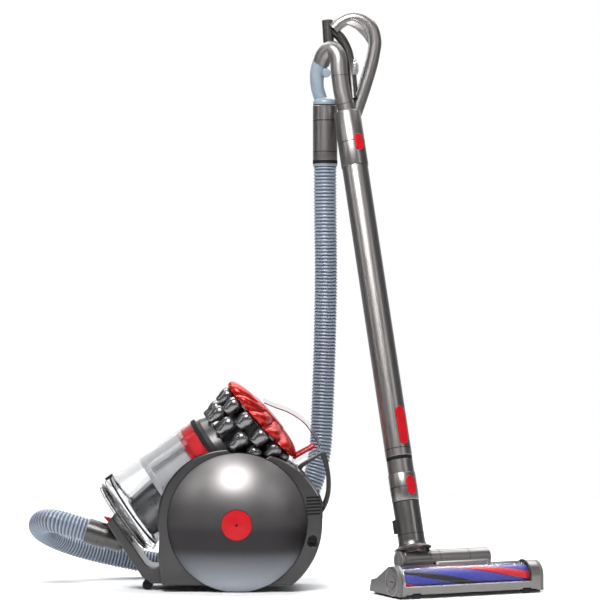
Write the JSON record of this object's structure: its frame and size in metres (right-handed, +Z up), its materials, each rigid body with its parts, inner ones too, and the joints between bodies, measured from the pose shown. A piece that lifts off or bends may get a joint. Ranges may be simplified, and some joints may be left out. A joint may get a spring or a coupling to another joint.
{
  "type": "canister vacuum cleaner",
  "caption": "Ball-shaped cyclone canister vacuum with clear bin, ribbed hose, curved grip, telescopic wand and turbine brush head.",
  "frame": {"origin": "on the floor under the middle of the bounding box of the object without its hose", "axes": "+Z up, the canister drives towards -X, its left side is -Y"},
  "size_m": [0.9194, 0.3909, 1.041],
  "materials": {
    "ball_shell": "glossy metallic dark nickel",
    "nickel": "satin warm nickel-grey metallic plastic",
    "dark": "satin charcoal plastic",
    "iron": "dark iron metallic plastic",
    "red": "bright red plastic",
    "cover_red": "anodised-look metallic red",
    "clear": "clear polycarbonate",
    "seal": "soft black rubber",
    "steel": "machined",
    "shroud": "perforated satin light grey",
    "hose": "ribbed blue-grey hose",
    "pale": "pale blue-grey plastic",
    "tube": "satin anodised tube",
    "filter": "pleated filter felt",
    "brush": "purple nylon and carbon filament strips",
    "tyre": "hard rubber"
  },
  "bodies": {
    "root": {"chassis_left": "iron", "chassis_right": "iron", "wheel_bearings": "steel", "motor_housing": "dark", "post_motor_filter": "filter", "front_cradle": "nickel", "inlet_elbow": "nickel", "cord_outlet": "seal", "rear_spine": "iron", "hose": "hose", "swivel_elbow": "pale", "handle_duct": "nickel", "grip_loop": "nickel", "wand_outer": "tube"},
    "left_wheel": {"left_ball_shell": "ball_shell", "left_hub_cap": "red"},
    "right_wheel": {"right_ball_shell": "ball_shell", "right_hub_cap": "red"},
    "motor_rotor": {"motor_rotor": "steel"},
    "cord_reel": {"cord_reel": "dark"},
    "front_castor": {"front_castor_wheels": "tyre"},
    "bin": {"bin_wall": "clear", "bin_base": "clear", "base_seal": "seal", "base_hinge_pin": "steel", "base_catch": "dark", "shroud": "shroud", "dust_collector": "nickel", "red_ring": "red", "top_seal": "seal", "cyclone_core": "iron", "cyclones_lower": "iron", "cyclones_upper": "iron", "cyclone_cover": "cover_red", "carry_handle": "clear", "pre_motor_filter": "filter"},
    "bin_release": {"bin_release": "red"},
    "cradle_catch": {"cradle_catch": "red"},
    "power_button": {"power_button": "nickel"},
    "rewind_button": {"rewind_button": "nickel"},
    "hose_cuff_lower": {"hose_cuff_lower": "nickel"},
    "hose_cuff_upper": {"hose_cuff_upper": "nickel"},
    "handle_trigger": {"handle_trigger": "pale"},
    "wand_button": {"wand_button": "red"},
    "telescope_catch": {"telescope_catch": "red"},
    "wand_inner": {"wand_inner": "tube"},
    "head_button": {"head_button": "red"},
    "neck": {"neck": "nickel", "wand_clip": "dark"},
    "head": {"head_body": "nickel", "brush_window": "clear", "left_end_cap": "dark", "right_end_cap": "dark", "turbine_housing": "nickel", "sole_plate": "dark"},
    "brush_bar": {"brush_bar": "brush"},
    "turbine_wheel": {"turbine_wheel": "nickel"},
    "coin_lock": {"coin_lock": "dark"},
    "front_rollers": {"front_rollers": "tyre"},
    "rear_wheels": {"rear_wheels": "tyre"}
  },
  "joints": [
    {"name": "left_wheel_spin", "type": "hinge", "parent": "root", "child": "left_wheel", "pos_m": [-0.13076, 0.02175, 0.122], "axis": [0, 1, 0], "continuous": true},
    {"name": "right_wheel_spin", "type": "hinge", "parent": "root", "child": "right_wheel", "pos_m": [-0.13076, 0.02175, 0.122], "axis": [0, 1, 0], "continuous": true},
    {"name": "motor_spin", "type": "hinge", "parent": "root", "child": "motor_rotor", "pos_m": [-0.10276, 0.02175, 0.084], "axis": [0, 1, 0], "continuous": true},
    {"name": "cord_reel_spin", "type": "hinge", "parent": "root", "child": "cord_reel", "pos_m": [-0.13076, 0.02175, 0.122], "axis": [0, 1, 0], "continuous": true},
    {"name": "front_castor_spin", "type": "hinge", "parent": "root", "child": "front_castor", "pos_m": [-0.29076, 0.02175, 0.009], "axis": [0, 1, 0], "continuous": true},
    {"name": "bin_lift", "type": "slide", "parent": "root", "child": "bin", "axis": [-0.5736, 0, 0.8192], "range_m": [0, 0.16]},
    {"name": "bin_release_press", "type": "hinge", "parent": "bin", "child": "bin_release", "pos_m": [-0.03176, 0.02175, 0.233], "axis": [0, 1, 0], "range_deg": [0, 3.2], "stiffness_Nm_per_rad": 0.5, "springref_deg": -11.46},
    {"name": "cradle_catch_press", "type": "slide", "parent": "root", "child": "cradle_catch", "axis": [0.5736, 0, -0.8192], "range_m": [0, 0.002], "stiffness_N_per_m": 400, "springref_m": -0.002},
    {"name": "power_button_press", "type": "slide", "parent": "root", "child": "power_button", "axis": [-0.788, 0, -0.6157], "range_m": [0, 0.003], "stiffness_N_per_m": 400, "springref_m": -0.003},
    {"name": "rewind_button_press", "type": "slide", "parent": "root", "child": "rewind_button", "axis": [-0.788, 0, -0.6157], "range_m": [0, 0.003], "stiffness_N_per_m": 400, "springref_m": -0.003},
    {"name": "hose_cuff_lower_spin", "type": "hinge", "parent": "root", "child": "hose_cuff_lower", "pos_m": [-0.37776, 0.02175, 0.095], "axis": [-0.9511, 0, 0.309], "continuous": true},
    {"name": "hose_cuff_upper_spin", "type": "hinge", "parent": "root", "child": "hose_cuff_upper", "pos_m": [0.02524, 0.14775, 0.87], "axis": [0, 0, 1], "continuous": true},
    {"name": "handle_trigger_press", "type": "slide", "parent": "root", "child": "handle_trigger", "axis": [1, 0, 0], "range_m": [0, 0.004], "stiffness_N_per_m": 300, "springref_m": -0.003},
    {"name": "wand_button_press", "type": "slide", "parent": "root", "child": "wand_button", "axis": [-0.4988, 0.8225, -0.2734], "range_m": [0, 0.0015], "stiffness_N_per_m": 500, "springref_m": -0.003},
    {"name": "telescope_catch_press", "type": "slide", "parent": "root", "child": "telescope_catch", "axis": [-0.4988, 0.8225, -0.2734], "range_m": [0, 0.0015], "stiffness_N_per_m": 500, "springref_m": -0.003},
    {"name": "telescope_slide", "type": "slide", "parent": "root", "child": "wand_inner", "axis": [0.1388, -0.2356, -0.9619], "range_m": [0, 0.24]},
    {"name": "head_button_press", "type": "slide", "parent": "wand_inner", "child": "head_button", "axis": [-0.4988, 0.8225, -0.2734], "range_m": [0, 0.0015], "stiffness_N_per_m": 500, "springref_m": -0.003},
    {"name": "neck_swivel", "type": "hinge", "parent": "wand_inner", "child": "neck", "pos_m": [0.17924, -0.07345, 0.059], "axis": [-0.1388, 0.2356, 0.9619], "range_deg": [-40, 40]},
    {"name": "neck_pitch", "type": "hinge", "parent": "neck", "child": "head", "pos_m": [0.17924, -0.07345, 0.059], "axis": [0.9063, 0.4226, 0], "range_deg": [-20, 60]},
    {"name": "brush_spin", "type": "hinge", "parent": "head", "child": "brush_bar", "pos_m": [0.13783, -0.14578, 0.028], "axis": [0.9063, 0.4226, 0], "continuous": true},
    {"name": "turbine_spin", "type": "hinge", "parent": "head", "child": "turbine_wheel", "pos_m": [0.11754, -0.10228, 0.059], "axis": [0.9063, 0.4226, 0], "continuous": true},
    {"name": "coin_lock_turn", "type": "hinge", "parent": "head", "child": "coin_lock", "pos_m": [0.13783, -0.14578, 0.028], "axis": [0.9063, 0.4226, 0], "range_deg": [0, 90]},
    {"name": "front_roller_spin", "type": "hinge", "parent": "head", "child": "front_rollers", "pos_m": [0.14755, -0.16662, 0.0046], "axis": [0.9063, 0.4226, 0], "continuous": true},
    {"name": "rear_wheel_spin", "type": "hinge", "parent": "head", "child": "rear_wheels", "pos_m": [0.10613, -0.07781, 0.009], "axis": [0.9063, 0.4226, 0], "continuous": true}
  ],
  "couplings": [
    {"joint": "turbine_spin", "follows": "brush_spin", "ratio": 4}
  ]
}
